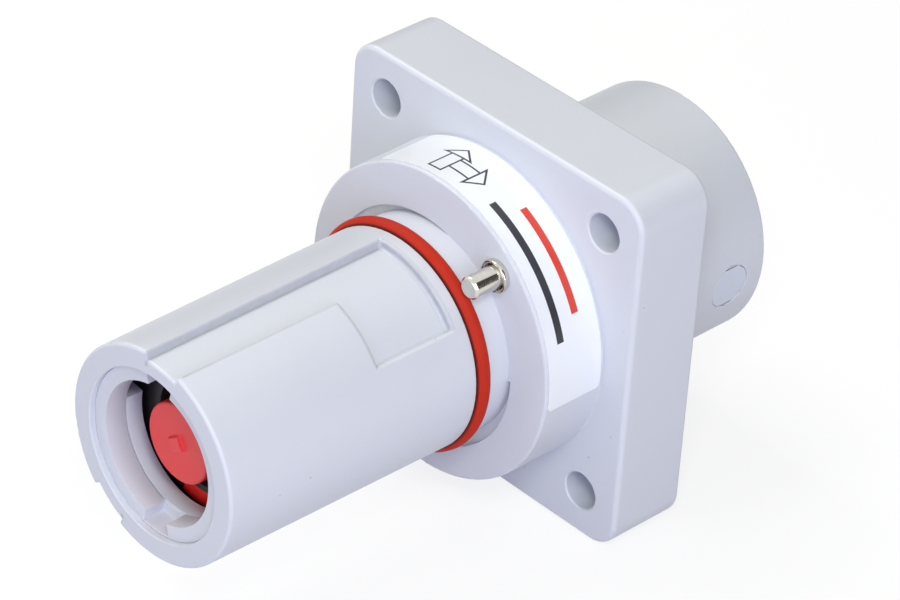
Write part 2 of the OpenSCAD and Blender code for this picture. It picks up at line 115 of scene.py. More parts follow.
# Painted shade: the near black of the gap behind the coding ring, and where that gap lies
GAP_SHADE_BLACK = (0.020, 0.017, 0.019)
GAP_FRONT = -90.2 * MM
GAP_BACK = -82.0 * MM
GAP_INNER_R = 16.58 * MM
GAP_OUTER_R = 17.0 * MM


class Wire:
    """A value on its way between shader nodes. Arithmetic on it adds Math nodes."""

    def __init__(self, tree, socket):
        self.tree = tree
        self.socket = socket

    def node(self, kind, settings, sockets, output=0):
        """Any other node: its type, its settings, its sockets' values or links, and the output read."""
        made = self.tree.nodes.new(kind)
        for name, value in settings.items():
            setattr(made, name, value)
        for name, value in sockets.items():
            if isinstance(value, Wire):
                self.tree.links.new(value.socket, made.inputs[name])
            else:
                made.inputs[name].default_value = value
        return Wire(self.tree, made.outputs[output])

    def maths(self, operation, *others):
        return self.node("ShaderNodeMath", {"operation": operation}, dict(enumerate((self, *others))))

    def __add__(self, other):
        return self.maths("ADD", other)

    __radd__ = __add__

    def __sub__(self, other):
        return self.maths("SUBTRACT", other)

    def __rsub__(self, other):
        return (self * -1.0).maths("ADD", other)

    def __mul__(self, other):
        return self.maths("MULTIPLY", other)

    __rmul__ = __mul__

    def __truediv__(self, other):
        return self.maths("DIVIDE", other)

    def __lt__(self, other):
        return self.maths("LESS_THAN", other)

    def __gt__(self, other):
        return self.maths("GREATER_THAN", other)

    def __abs__(self):
        return self.maths("ABSOLUTE")

    def into(self, shader, name):
        self.tree.links.new(self.socket, shader.inputs[name])


def new_finish(name, metallic=0.0):
    """A material, its shader, and the piece's own coordinates that its patterns are drawn on."""
    material = bpy.data.materials.new(name)
    material.use_nodes = True
    tree = material.node_tree
    shader = tree.nodes["Principled BSDF"]
    shader.inputs["Metallic"].default_value = metallic
    place = Wire(tree, tree.nodes.new("ShaderNodeTexCoord").outputs["Object"])
    return material, shader, place


def clouds(place, size, detail=2.0):
    """Soft noise whose blotches are about the given size across, from 0 to 1."""
    return place.node("ShaderNodeTexNoise", {}, {"Vector": place, "Scale": 1.0 / size, "Detail": detail})


def specks(place, spacing, radius):
    """A mask of small dots strewn through the melt, so that only those cut by the surface show."""
    sockets = {"Vector": place, "Scale": 1.0 / spacing}
    return place.node("ShaderNodeTexVoronoi", {}, sockets, output="Distance") < radius / spacing


def round_axis(place):
    """The place along the connector's axis, the distance from it and the angle round it."""
    east, axial, north = (place.node("ShaderNodeSeparateXYZ", {}, {0: place}, output=axis) for axis in "XYZ")
    return axial, (east * east + north * north).maths("SQRT"), north.maths("ARCTAN2", east)


def band(value, low, high):
    """A mask of the values between two limits."""
    return abs(value - (low + high) / 2) < (high - low) / 2


def tent(value, middle, reach):
    """A mask that falls from 1 at a middle value to 0 at a reach from it."""
    return (1.0 - abs(value - middle) / reach).maths("MAXIMUM", 0.0)


def strongest(first, *others):
    """The greatest of several masks at each place."""
    for other in others:
        first = first.maths("MAXIMUM", other)
    return first


def between(pattern, low, high):
    """A value that goes from low to high as a pattern goes from 0 to 1."""
    return low + (high - low) * pattern


def mixed(mask, low, high):
    """The colour low where the mask is 0 and high where it is 1."""
    # A Mix node repeats its sockets for each kind of value, so the ones for colours go by number
    factor, first, second, result = 0, 6, 7, 2
    low, high = (value if isinstance(value, Wire) else (*value, 1.0) for value in (low, high))
    sockets = {factor: mask, first: low, second: high}
    return mask.node("ShaderNodeMix", {"data_type": "RGBA"}, sockets, output=result)


def relief(shader, height, depth):
    """Fine relief on the surface: a height of 1 stands the given depth proud of a height of 0."""
    sockets = {"Height": height, "Strength": 1.0, "Distance": depth}
    height.node("ShaderNodeBump", {}, sockets).into(shader, "Normal")


def shade_by_creases(skin):
    """Smooth shading that breaks only at creases."""
    for face in skin.faces:
        face.smooth = True
    for edge in skin.edges:
        edge.smooth = edge.calc_face_angle(0.0) < CREASE_ANGLE


def sewn_skin(node):
    """A copy of a node's skin, sewn together, with its flat faces whole and its short steps closed."""
    skin = bmesh.new()
    skin.from_mesh(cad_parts[node].data)
    bmesh.ops.remove_doubles(skin, verts=skin.verts, dist=SEW_GAP)
    bmesh.ops.dissolve_limit(skin, angle_limit=FLAT_ANGLE, verts=skin.verts, edges=skin.edges)
    short = [edge for edge in skin.edges if edge.calc_length() < STUB]
    bmesh.ops.collapse(skin, edges=[edge for edge in short if edge.calc_face_angle(0.0) > CREASE_ANGLE])
    shade_by_creases(skin)
    return skin


def weigh_edges(skin, softness):
    """Gives each edge of a skin its share of the rounding."""
    weights = skin.edges.layers.float.new("bevel_weight_edge")
    for edge in skin.edges:
        edge[weights] = softness(edge)


def added_piece(name, skin, material):
    """A new mesh object at the origin from a finished bmesh."""
    mesh = bpy.data.meshes.new(name)
    skin.to_mesh(mesh)
    skin.free()
    mesh.materials.clear()
    mesh.materials.append(material)
    piece = bpy.data.objects.new(name, mesh)
    bpy.context.scene.collection.objects.link(piece)
    return piece


def soften_edges(piece, width):
    """Rounds the edges that carry a bevel weight, to that share of the width, and evens the shading."""
    rounding = piece.modifiers.new("edge_round", "BEVEL")
    rounding.limit_method = "WEIGHT"
    rounding.width = width
    rounding.segments = EDGE_STEPS
    rounding.use_clamp_overlap = False
    evening = piece.modifiers.new("even_shading", "WEIGHTED_NORMAL")
    evening.keep_sharp = True


def housing_softness(edge):
    """How round an edge of the housing is: most where a lug turns into its pocket, least in the relief."""
    if edge.calc_face_angle(0.0) <= CORNER_ANGLE:
        return 0.0
    middle = (edge.verts[0].co + edge.verts[1].co) / 2
    radius = math.hypot(middle.x, middle.z)
    angle = math.degrees(math.atan2(middle.z, middle.x))
    if middle.y < BAYONET_BACK and radius > CHANNEL_FLOOR_R:
        on_right = any(abs(angle - wall) < WALL_TURN for wall in CHANNEL_RIGHT_WALLS)
        on_lug = on_right and RIM_BACK < middle.y < POCKET_FRONT - POCKET_REACH
        lug_edge = on_lug or abs(middle.y - POCKET_FRONT) < POCKET_REACH
        return LUG_SOFTNESS if lug_edge and radius > CHANNEL_TOP_R else BAYONET_SOFTNESS
    return RELIEF_SOFTNESS if abs(middle.y - COLLAR_FACE) < RELIEF_REACH else BODY_SOFTNESS


grey_plastic, shader, place = new_finish("grey_plastic")
axial, from_axis, turned = round_axis(place)
mottle = clouds(place, MOTTLE_SIZE)
marbling = DRIFT_SHARE * clouds(place, DRIFT_SIZE, detail=3.0) + MOTTLE_SHARE * mottle
melt = mixed(marbling, MELT_GREY, MELT_PALE)
speckled = mixed(SPECK_STRENGTH * specks(place, SPECK_SPACING, SPECK_R), melt, SPECK_GREY)
corners = []
for wall in CHANNEL_LEFT_WALLS:
    along_wall = tent(turned, math.radians(wall - CORNER_SHIFT), math.radians(CORNER_TURN))
    in_pocket = band(turned, math.radians(wall - POCKET_SWEEP), math.radians(wall))
    corners.append(along_wall * (axial < POCKET_REAR))
    corners.append(in_pocket * tent(axial, POCKET_REAR, CORNER_REACH))
in_channel = from_axis > CHANNEL_FLOOR_R - CORNER_REACH
# Painted shade: the corners of the bayonet channels and their pockets are darkened, by a random amount
corner_shade = strongest(*corners) * in_channel * between(mottle, *CORNER_SHADE_STRENGTH)
corner_shaded = mixed(corner_shade, speckled, CORNER_SHADE_GREY)
# Painted shade: the wall of the gap behind the coding ring is coloured near black
in_gap = band(axial, GAP_FRONT, GAP_BACK) * band(from_axis, GAP_INNER_R, GAP_OUTER_R)
mixed(in_gap, corner_shaded, GAP_SHADE_BLACK).into(shader, "Base Color")
between(marbling, *MELT_ROUGHNESS).into(shader, "Roughness")
relief(shader, clouds(place, GRAIN_SIZE) + WAVE_HEIGHT * clouds(place, WAVE_SIZE), GRAIN_DEPTH)
skin = sewn_skin("housing")
weigh_edges(skin, housing_softness)
housing = added_piece("housing_moulding", skin, grey_plastic)
soften_edges(housing, HOUSING_EDGE)
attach(housing, "connector")
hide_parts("housing")


# Socket contact: a turned copper bar with a hexagonal rear body, silver plated all over, and tapped in its
# rear end for the cable lug's bolt. It is pushed into the housing from behind, and shows fine lathe marks
# and tarnish.
SILVER = (0.80, 0.785, 0.745)
TARNISH = (0.52, 0.46, 0.38)
TARNISH_SIZE = 5 * MM
SILVER_ROUGHNESS = (0.18, 0.38)
SILVER_SMEAR = 2 * MM
SILVER_FEED = 0.2 * MM
SILVER_FEED_DEPTH = 0.004 * MM
THREAD_PITCH = 1.75 * MM
THREAD_TURNS = 12
THREAD_STEPS = 40
THREAD_CREST_R = 5.1 * MM
THREAD_ROOT_R = 6.0 * MM
THREAD_FLANK = 0.8 * MM
THREAD_ROOT_FLAT = 0.1 * MM
THREAD_LEAD = 0.15 * MM
terminal_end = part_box("socket_contact")[1].y


def lathe_marks(place, feed):
    """Noise that only changes along the connector's axis, as a turning tool leaves it."""
    axial = round_axis(place)[0]
    return axial.node("ShaderNodeTexNoise", {"noise_dimensions": "1D"}, {"W": axial, "Scale": 1.0 / feed})


silver_plate, shader, place = new_finish("silver_plate", metallic=1.0)
mixed(clouds(place, TARNISH_SIZE, detail=4.0), SILVER, TARNISH).into(shader, "Base Color")
between(clouds(place, SILVER_SMEAR), *SILVER_ROUGHNESS).into(shader, "Roughness")
relief(shader, lathe_marks(place, SILVER_FEED), SILVER_FEED_DEPTH)
socket_contact = added_piece("socket_contact_turning", sewn_skin("socket_contact"), silver_plate)

tap_skin = bmesh.new()
tooth_start = terminal_end + THREAD_PITCH - THREAD_TURNS * THREAD_PITCH
tooth = [
    (THREAD_CREST_R - THREAD_LEAD, -THREAD_FLANK),
    (THREAD_ROOT_R, -THREAD_ROOT_FLAT),
    (THREAD_ROOT_R, THREAD_ROOT_FLAT),
    (THREAD_CREST_R - THREAD_LEAD, THREAD_FLANK),
]
tooth_face = tap_skin.faces.new([tap_skin.verts.new((radius, tooth_start + y, 0.0)) for radius, y in tooth])
bmesh.ops.spin(
    tap_skin,
    geom=[tooth_face],
    cent=(0.0, 0.0, 0.0),
    axis=(0.0, 1.0, 0.0),
    dvec=(0.0, THREAD_PITCH / THREAD_STEPS, 0.0),
    angle=2 * math.pi * THREAD_TURNS,
    steps=THREAD_STEPS * THREAD_TURNS,
)
bmesh.ops.recalc_face_normals(tap_skin, faces=tap_skin.faces)
tap = added_piece("terminal_tap", tap_skin, silver_plate)
cutting = socket_contact.modifiers.new("tapping", "BOOLEAN")
cutting.object = tap
cutting.solver = "EXACT"
shaped = bpy.context.evaluated_depsgraph_get()
tapped = bpy.data.meshes.new_from_object(socket_contact.evaluated_get(shaped))
socket_contact.modifiers.remove(cutting)
socket_contact.data = tapped
bpy.data.objects.remove(tap)
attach(socket_contact, "connector")
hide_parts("socket_contact")


# Contact bands: two louvred strips of spring copper, punched flat, rolled up and sprung into grooves in the
# socket's bore, where their louvres press on the mating plug's tube.
BAND_COPPER = (0.62, 0.36, 0.17)
BAND_BRIGHT = (0.80, 0.55, 0.32)
BAND_PATCH = 3 * MM
BAND_ROUGHNESS = (0.20, 0.35)
BAND_SMEAR = 1 * MM


def dress(node, material):
    """Gives a node that keeps its shape its finish."""
    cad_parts[node].material_slots[0].material = material


spring_copper, shader, place = new_finish("spring_copper", metallic=1.0)
mixed(clouds(place, BAND_PATCH, detail=3.0), BAND_COPPER, BAND_BRIGHT).into(shader, "Base Color")
between(clouds(place, BAND_SMEAR), *BAND_ROUGHNESS).into(shader, "Roughness")
for strip in ("contact_band_front", "contact_band_rear"):
    dress(strip, spring_copper)


# Contact seals: two black rubber O-rings in grooves round the contact, pressed against the housing's bore to
# keep water from running through the connector.
RUBBER_BLACK = (0.018, 0.018, 0.019)
RUBBER_DUSTY = (0.045, 0.045, 0.047)
RUBBER_PATCH = 2 * MM
RUBBER_ROUGHNESS = (0.45, 0.65)
RUBBER_SMEAR = 1 * MM

black_rubber, shader, place = new_finish("black_rubber")
mixed(clouds(place, RUBBER_PATCH, detail=4.0), RUBBER_BLACK, RUBBER_DUSTY).into(shader, "Base Color")
between(clouds(place, RUBBER_SMEAR), *RUBBER_ROUGHNESS).into(shader, "Roughness")
for seal in ("contact_seal_front_ring", "contact_seal_rear_ring"):
    dress(seal, black_rubber)


# Touch post: a moulded red plastic post that fills the middle of the socket, so that no finger reaches live
# metal. A small raised square marks its face, and a screw from behind holds it to the socket's floor.
POST_EDGE = 0.12 * MM
POST_RED = (0.76, 0.040, 0.042)
POST_PALE = (0.84, 0.055, 0.055)
POST_SWIRL = 4 * MM
POST_ROUGHNESS = (0.36, 0.50)
POST_SMEAR = 1 * MM
POST_GRAIN = 0.2 * MM
POST_GRAIN_DEPTH = 0.008 * MM


def crease_softness(edge):
    """The whole rounding on a crease and none elsewhere."""
    return 0.0 if edge.smooth else 1.0


red_plastic, shader, place = new_finish("red_plastic")
swirl = clouds(place, POST_SWIRL, detail=3.0)
mixed(swirl, POST_RED, POST_PALE).into(shader, "Base Color")
between(clouds(place, POST_SMEAR), *POST_ROUGHNESS).into(shader, "Roughness")
relief(shader, clouds(place, POST_GRAIN) + swirl, POST_GRAIN_DEPTH)
skin = sewn_skin("touch_post")
weigh_edges(skin, crease_softness)
touch_post = added_piece("touch_post_moulding", skin, red_plastic)
soften_edges(touch_post, POST_EDGE)
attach(touch_post, "connector")
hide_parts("touch_post")


# Post screw: a zinc plated steel cap screw, put in through the terminal's drilled hole, that pulls the touch
# post down on the socket's floor.
ZINC = (0.46, 0.47, 0.49)
ZINC_DULL = (0.36, 0.37, 0.38)
ZINC_PATCH = 1.5 * MM
ZINC_ROUGHNESS = (0.28, 0.48)
ZINC_SMEAR = 0.8 * MM

steel, shader, place = new_finish("steel", metallic=1.0)
mixed(clouds(place, ZINC_PATCH, detail=4.0), ZINC, ZINC_DULL).into(shader, "Base Color")
between(clouds(place, ZINC_SMEAR), *ZINC_ROUGHNESS).into(shader, "Roughness")
dress("post_screw", steel)


# Guard ring: a red moulded ring with a thin spigot, pressed into the socket's front edge, which keeps fingers
# off its rim. It is painted near black as shade, apart from a patch low down behind the coding ring that
# keeps its red.
GUARD_RED = (0.74, 0.018, 0.014)
GUARD_PALE = (0.80, 0.026, 0.020)
GUARD_SWIRL = 4 * MM
GUARD_ROUGHNESS = (0.34, 0.48)
GUARD_SMEAR = 1 * MM
# Where the guard ring keeps its red; elsewhere it is painted near black as shade
UNSHADED_INNER_R = 12.0 * MM
UNSHADED_OUTER_R = 15.1 * MM
UNSHADED_FROM = math.radians(-106.0)
UNSHADED_TO = math.radians(-50.0)
GUARD_EDGE = 0.2 * MM
GUARD_BORE_R = 10.85 * MM
GUARD_SPIGOT_R = 12.25 * MM
GUARD_FLANGE = 2.0 * MM
ROUND_STEPS = 128
CREASE_STEPS = 2
guard_low, guard_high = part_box("guard_ring")


def round_creases(skin, edge_round):
    """Rounds every crease of a skin, and shades it smooth."""
    bmesh.ops.bevel(
        skin,
        geom=[edge for edge in skin.edges if edge.calc_face_angle(0.0) > CREASE_ANGLE],
        offset=edge_round,
        segments=CREASE_STEPS,
        profile=0.5,
        affect="EDGES",
        material=-1,
        clamp_overlap=True,
    )
    shade_by_creases(skin)


def spun_skin(profile, centre_x, centre_z, edge_round):
    """A skin turned round its own centre line from corners given as a radius and a place along the axis."""
    skin = bmesh.new()
    corners = [skin.verts.new((centre_x + radius, y, centre_z)) for radius, y in profile]
    line = [skin.edges.new(ends) for ends in zip(corners, corners[1:])]
    bmesh.ops.spin(
        skin,
        geom=corners + line,
        cent=(centre_x, 0.0, centre_z),
        axis=(0.0, 1.0, 0.0),
        angle=2 * math.pi,
        steps=ROUND_STEPS,
        use_merge=True,
    )
    bmesh.ops.remove_doubles(skin, verts=skin.verts, dist=SEW_GAP)
    bmesh.ops.recalc_face_normals(skin, faces=skin.faces)
    round_creases(skin, edge_round)
    return skin


guard_plastic, shader, place = new_finish("guard_plastic")
_, from_axis, turned = round_axis(place)
tinted = mixed(clouds(place, GUARD_SWIRL, detail=3.0), GUARD_RED, GUARD_PALE)
# Painted shade: the ring is coloured near black, apart from a patch low down that keeps its red
unshaded = band(from_axis, UNSHADED_INNER_R, UNSHADED_OUTER_R) * band(turned, UNSHADED_FROM, UNSHADED_TO)
mixed(unshaded, GAP_SHADE_BLACK, tinted).into(shader, "Base Color")
between(clouds(place, GUARD_SMEAR), *GUARD_ROUGHNESS).into(shader, "Roughness")
guard_profile = [
    (GUARD_BORE_R, guard_low.y),
    (guard_high.x, guard_low.y),
    (guard_high.x, guard_low.y + GUARD_FLANGE),
    (GUARD_SPIGOT_R, guard_low.y + GUARD_FLANGE),
    (GUARD_SPIGOT_R, guard_high.y),
    (GUARD_BORE_R, guard_high.y),
    (GUARD_BORE_R, guard_low.y),
]
skin = spun_skin(guard_profile, 0.0, 0.0, GUARD_EDGE)
guard_ring = added_piece("guard_ring_moulding", skin, guard_plastic)
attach(guard_ring, "connector")
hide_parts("guard_ring")


# Coding ring: a grey moulded ring that snaps into the nose's mouth. Its two notches let in only a plug with
# keys at the same angles, so that phases can't be crossed. A skirt behind it is cut away beside the upper
# notch.
RING_EDGE = 0.11 * MM
RING_BORE_R = 13.7 * MM
SEAM_DEPTH = 0.5 * MM
SEAM_WIDTH = 0.25 * MM
SKIRT_LENGTH = 3.8 * MM
NOTCH_WEB = 0.4 * MM
STEP_ANGLE = 2.5
RING_START = -100.75
RING_STRETCHES = (
    (-77.25, "notch and skirt"),
    (77.25, "wall and skirt"),
    (100.75, "notch"),
    (171.0, "wall"),
    (259.25, "wall and skirt"),
)
ring_low, ring_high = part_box("coding_ring")
web_r = ring_high.x - NOTCH_WEB
step_r = RING_BORE_R + SEAM_DEPTH
skirt_front = ring_high.y + SEAM_WIDTH
skirt_back = ring_high.y + SKIRT_LENGTH


def corners_at(skin, profile, angle):
    """New corners of a profile, each a radius and a place along the axis, turned to an angle."""
    turn = Matrix.Rotation(math.radians(-angle), 3, "Y")
    return [skin.verts.new(turn @ Vector((radius, y, 0.0))) for radius, y in profile]


def swept_wall(skin, profile, start, end):
    """Sweeps a line of corners from one angle to another."""
    corners = corners_at(skin, profile, start)
    line = [skin.edges.new(ends) for ends in zip(corners, corners[1:])]
    bmesh.ops.spin(
        skin,
        geom=corners + line,
        cent=(0.0, 0.0, 0.0),
        axis=(0.0, 1.0, 0.0),
        angle=math.radians(start - end),
        steps=round((end - start) / STEP_ANGLE),
    )


bore_front, web_front, outer_front = ((radius, ring_low.y) for radius in (RING_BORE_R, web_r, ring_high.x))
bore_seam, step_seam, web_seam, outer_seam = (
    (radius, ring_high.y) for radius in (RING_BORE_R, step_r, web_r, ring_high.x)
)
skirt_end = [
    (ring_high.x, skirt_back),
    (RING_BORE_R, skirt_back),
    (RING_BORE_R, skirt_front),
    (step_r, skirt_front),
]
wall_front = [bore_front, web_front, outer_front, outer_seam]
notch_front = [web_front, outer_front, outer_seam]
ring_walls = {
    "wall": [*wall_front, web_seam, step_seam, bore_seam, bore_front],
    "notch": [*notch_front, web_seam, web_front],
    "wall and skirt": [*wall_front, *skirt_end, step_seam, bore_seam, bore_front],
    "notch and skirt": [*notch_front, *skirt_end, step_seam, web_seam, web_front],
}
ring_cheeks = {
    "notch": [bore_front, web_front, web_seam, step_seam, bore_seam],
    "skirt": [outer_seam, *skirt_end, step_seam, web_seam],
}
ring_skin = bmesh.new()
from_angle, before = RING_START, RING_STRETCHES[-1][1]
for to_angle, shape in RING_STRETCHES:
    swept_wall(ring_skin, ring_walls[shape], from_angle, to_angle)
    for feature, cheek in ring_cheeks.items():
        if (feature in shape) != (feature in before):
            ring_skin.faces.new(corners_at(ring_skin, cheek, from_angle))
    from_angle, before = to_angle, shape
bmesh.ops.remove_doubles(ring_skin, verts=ring_skin.verts, dist=SEW_GAP)
bmesh.ops.recalc_face_normals(ring_skin, faces=ring_skin.faces)
round_creases(ring_skin, RING_EDGE)
coding_ring = added_piece("coding_ring_moulding", ring_skin, grey_plastic)
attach(coding_ring, "connector")
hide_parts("coding_ring")


# Locking peg: a smooth, slightly paler plastic plug pressed into the side of the barrel until it meets the
# contact's groove, so that the contact can't be pushed back out.
PEG_GREY = (0.60, 0.64, 0.73)
PEG_PALE = (0.63, 0.67, 0.76)
PEG_PATCH = 4 * MM
PEG_ROUGHNESS = (0.26, 0.36)
PEG_SMEAR = 1 * MM
PEG_WAVE = 3 * MM
PEG_WAVE_DEPTH = 0.01 * MM
PEG_EDGE = 0.15 * MM

plug_plastic, shader, place = new_finish("plug_plastic")
mixed(clouds(place, PEG_PATCH, detail=3.0), PEG_GREY, PEG_PALE).into(shader, "Base Color")
between(clouds(place, PEG_SMEAR), *PEG_ROUGHNESS).into(shader, "Roughness")
relief(shader, clouds(place, PEG_WAVE), PEG_WAVE_DEPTH)
skin = sewn_skin("locking_peg")
weigh_edges(skin, crease_softness)
locking_peg = added_piece("locking_peg_moulding", skin, plug_plastic)
soften_edges(locking_peg, PEG_EDGE)
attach(locking_peg, "connector")
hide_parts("locking_peg")


# Nose seal: an orange red silicone O-ring in the groove at the root of the nose. The mating plug's sleeve
# runs over it and squeezes it. Its skin is waxy and slightly dusty, with painted shade where it sinks into
# the groove.
SEAL_RED = (0.45, 0.022, 0.009)
SEAL_DUSTY = (0.51, 0.030, 0.013)
SEAL_BLOOM = 2.5 * MM
SEAL_ROUGHNESS = (0.52, 0.68)
SEAL_SPECULAR = 0.12
SEAL_GRAIN = 0.3 * MM
SEAL_GRAIN_DEPTH = 0.006 * MM
# Painted shade where the seal sinks into the groove
SEAL_SHADE = (0.06, 0.012, 0.010)
SEAL_SHADE_STRENGTH = 0.85
LIP_DEPTH = 0.72 * MM
LIP_FADE = 0.35 * MM
seal_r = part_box("nose_seal")[1].x

seal_rubber, shader, place = new_finish("seal_rubber")
shader.inputs["Specular IOR Level"].default_value = SEAL_SPECULAR
from_axis = round_axis(place)[1]
bloom = clouds(place, SEAL_BLOOM, detail=4.0)
# Painted shade: the rubber darkens where it sinks below the groove's lip
below_lip = (seal_r - LIP_DEPTH - from_axis) / LIP_FADE
lip_shade = below_lip.maths("MAXIMUM", 0.0).maths("MINIMUM", SEAL_SHADE_STRENGTH)
mixed(lip_shade, mixed(bloom, SEAL_RED, SEAL_DUSTY), SEAL_SHADE).into(shader, "Base Color")
between(bloom, *SEAL_ROUGHNESS).into(shader, "Roughness")
relief(shader, clouds(place, SEAL_GRAIN), SEAL_GRAIN_DEPTH)
dress("nose_seal", seal_rubber)


# Pin bush: a small turned bush with a rounded flange and a flared mouth, bright nickel plated, pressed into
# the collar's face to guide the locking pin.
NICKEL = (0.72, 0.71, 0.66)
NICKEL_WARM = (0.60, 0.58, 0.52)
NICKEL_PATCH = 1.5 * MM
NICKEL_ROUGHNESS = (0.10, 0.22)
NICKEL_SMEAR = 0.6 * MM
NICKEL_FEED = 0.12 * MM
NICKEL_FEED_DEPTH = 0.002 * MM
BUSH_EDGE = 0.35 * MM
BUSH_BORE_R = 2.25 * MM
BUSH_BODY_R = 2.85 * MM
BUSH_FLARE_R = 2.7 * MM
BUSH_FLARE_DEPTH = 0.8 * MM
bush_low, bush_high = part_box("pin_bush")
bush_middle = (bush_low + bush_high) / 2
bush_lip_r = (bush_high.x - bush_low.x) / 2

nickel, shader, place = new_finish("nickel", metallic=1.0)
mixed(clouds(place, NICKEL_PATCH, detail=3.0), NICKEL, NICKEL_WARM).into(shader, "Base Color")
between(clouds(place, NICKEL_SMEAR), *NICKEL_ROUGHNESS).into(shader, "Roughness")
relief(shader, lathe_marks(place, NICKEL_FEED), NICKEL_FEED_DEPTH)
bush_profile = [
    (BUSH_BORE_R, bush_high.y),
    (BUSH_BORE_R, bush_low.y + BUSH_FLARE_DEPTH),
    (BUSH_FLARE_R, bush_low.y),
    (bush_lip_r, bush_low.y),
    (bush_lip_r, COLLAR_FACE),
    (BUSH_BODY_R, COLLAR_FACE),
    (BUSH_BODY_R, bush_high.y),
    (BUSH_BORE_R, bush_high.y),
]
skin = spun_skin(bush_profile, bush_middle.x, bush_middle.z, BUSH_EDGE)
pin_bush = added_piece("pin_bush_turning", skin, nickel)
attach(pin_bush, "connector")
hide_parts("pin_bush")


# Locking pin: a turned and nickel plated pin that stands out of the bush and locks the mated plug against
# turning back. It is pushed in against a spring by the plug's face or by a thumb.
PIN_EDGE = 0.08 * MM
PIN_R = 2.2 * MM
PIN_CHAMFER = 0.44 * MM
PIN_TAIL = 5.0 * MM
PIN_TAIL_R = 1.2 * MM
PIN_SHOULDER = 2.0 * MM
pin_low, pin_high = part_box("locking_pin")
pin_middle = (pin_low + pin_high) / 2
shoulder_r = (pin_high.x - pin_low.x) / 2
shoulder_back = pin_high.y - PIN_TAIL

pin_profile = [
    (0.0, pin_low.y),
    (PIN_R - PIN_CHAMFER, pin_low.y),
    (PIN_R, pin_low.y + PIN_CHAMFER),
    (PIN_R, shoulder_back - PIN_SHOULDER),
    (shoulder_r, shoulder_back - PIN_SHOULDER),
    (shoulder_r, shoulder_back),
    (PIN_TAIL_R, shoulder_back),
    (PIN_TAIL_R, pin_high.y),
    (0.0, pin_high.y),
]
skin = spun_skin(pin_profile, pin_middle.x, pin_middle.z, PIN_EDGE)
locking_pin = added_piece("locking_pin_turning", skin, nickel)
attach(locking_pin, "pin")
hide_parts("locking_pin")


# Pin spring: a compression spring of steel wire between the pin's shoulder and the floor of its bore, its end
# turns closed.
WIRE_R = 0.3 * MM
WIRE_SIDES = 10
SPRING_TURNS = 8
CLOSED_TURNS = 2
STEPS_PER_TURN = 28
spring_low, spring_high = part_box("pin_spring")
spring_middle = (spring_low + spring_high) / 2
spring_outer = (spring_high.x - spring_low.x) / 2
closed_rise = 2 * WIRE_R
open_length = spring_high.y - spring_low.y - (CLOSED_TURNS + 1) * closed_rise
open_rise = open_length / (SPRING_TURNS - CLOSED_TURNS)

spring_skin = bmesh.new()
wire_start = (spring_middle.x + spring_outer - WIRE_R, spring_low.y + WIRE_R, spring_middle.z)
wire_cut = bmesh.ops.create_circle(
    spring_skin, segments=WIRE_SIDES, radius=WIRE_R, cap_ends=True, matrix=Matrix.Translation(wire_start)
)
section = wire_cut["verts"]
for turn in range(SPRING_TURNS):
    rise = closed_rise if turn in (0, SPRING_TURNS - 1) else open_rise
    swept = bmesh.ops.spin(
        spring_skin,
        geom=[face for face in spring_skin.faces if all(vert in section for vert in face.verts)],
        cent=(spring_middle.x, 0.0, spring_middle.z),
        axis=(0.0, 1.0, 0.0),
        dvec=(0.0, rise / STEPS_PER_TURN, 0.0),
        angle=2 * math.pi,
        steps=STEPS_PER_TURN,
    )
    section = [item for item in swept["geom_last"] if isinstance(item, bmesh.types.BMVert)]
bmesh.ops.recalc_face_normals(spring_skin, faces=spring_skin.faces)
for face in spring_skin.faces:
    face.smooth = len(face.verts) < WIRE_SIDES
pin_spring = added_piece("pin_spring_wire", spring_skin, steel)
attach(pin_spring, "connector")
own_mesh(pin_spring)
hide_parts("pin_spring")


# Label: a thin white film stuck round the collar, printed with two outlined arrows that show how the plug
# goes on, push it home and then turn it clockwise, and with two plain stripes.
FILM_WHITE = (0.84, 0.865, 0.91)
FILM_BRIGHT = (0.88, 0.905, 0.945)
FILM_PATCH = 9 * MM
FILM_ROUGHNESS = (0.26, 0.36)
FILM_SMEAR = 3 * MM
FILM_WAVE = 2.5 * MM
FILM_WAVE_DEPTH = 0.01 * MM
INK = (0.035, 0.035, 0.045)
INK_RED = (0.70, 0.055, 0.030)
INK_LINE = 0.4 * MM
PUSH_ARROW_ARC = 52.0 * MM
PUSH_ARROW = {
    "tail": 28.55 * MM,
    "neck": 22.75 * MM,
    "tip": 20.2 * MM,
    "shaft_half": 1.5 * MM,
    "head_half": 3.2 * MM,
}
TURN_ARROW_AXIAL = -25.05 * MM
TURN_ARROW = {
    "tail": 50.5 * MM,
    "neck": 45.35 * MM,
    "tip": 42.7 * MM,
    "shaft_half": 1.45 * MM,
    "head_half": 3.05 * MM,
}
STRIPE_HALF = 0.8 * MM
RED_STRIPE_AXIAL = -22.3 * MM
RED_STRIPE_ARC = (14.0 * MM, 35.0 * MM)
DARK_STRIPE_AXIAL = -26.9 * MM
DARK_STRIPE_ARC = (10.0 * MM, 38.5 * MM)
label_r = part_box("label")[1].x


def arrow(along, across, tail, neck, tip, shaft_half, head_half):
    """Distance to the outline of an arrow that points to lower values of along."""
    shaft_end = abs(along - (tail + neck) / 2) - (tail - neck) / 2
    shaft = strongest(shaft_end, abs(across) - shaft_half)
    slope = math.hypot(head_half, neck - tip)
    flank = (abs(across) * (neck - tip) - (along - tip) * head_half) / slope
    head = strongest(flank, along - neck)
    return abs(shaft.maths("MINIMUM", head))


def stripe(along, across, start, end):
    """A mask of a stripe between two places along its length."""
    return band(along, start, end) * band(across, -STRIPE_HALF, STRIPE_HALF)


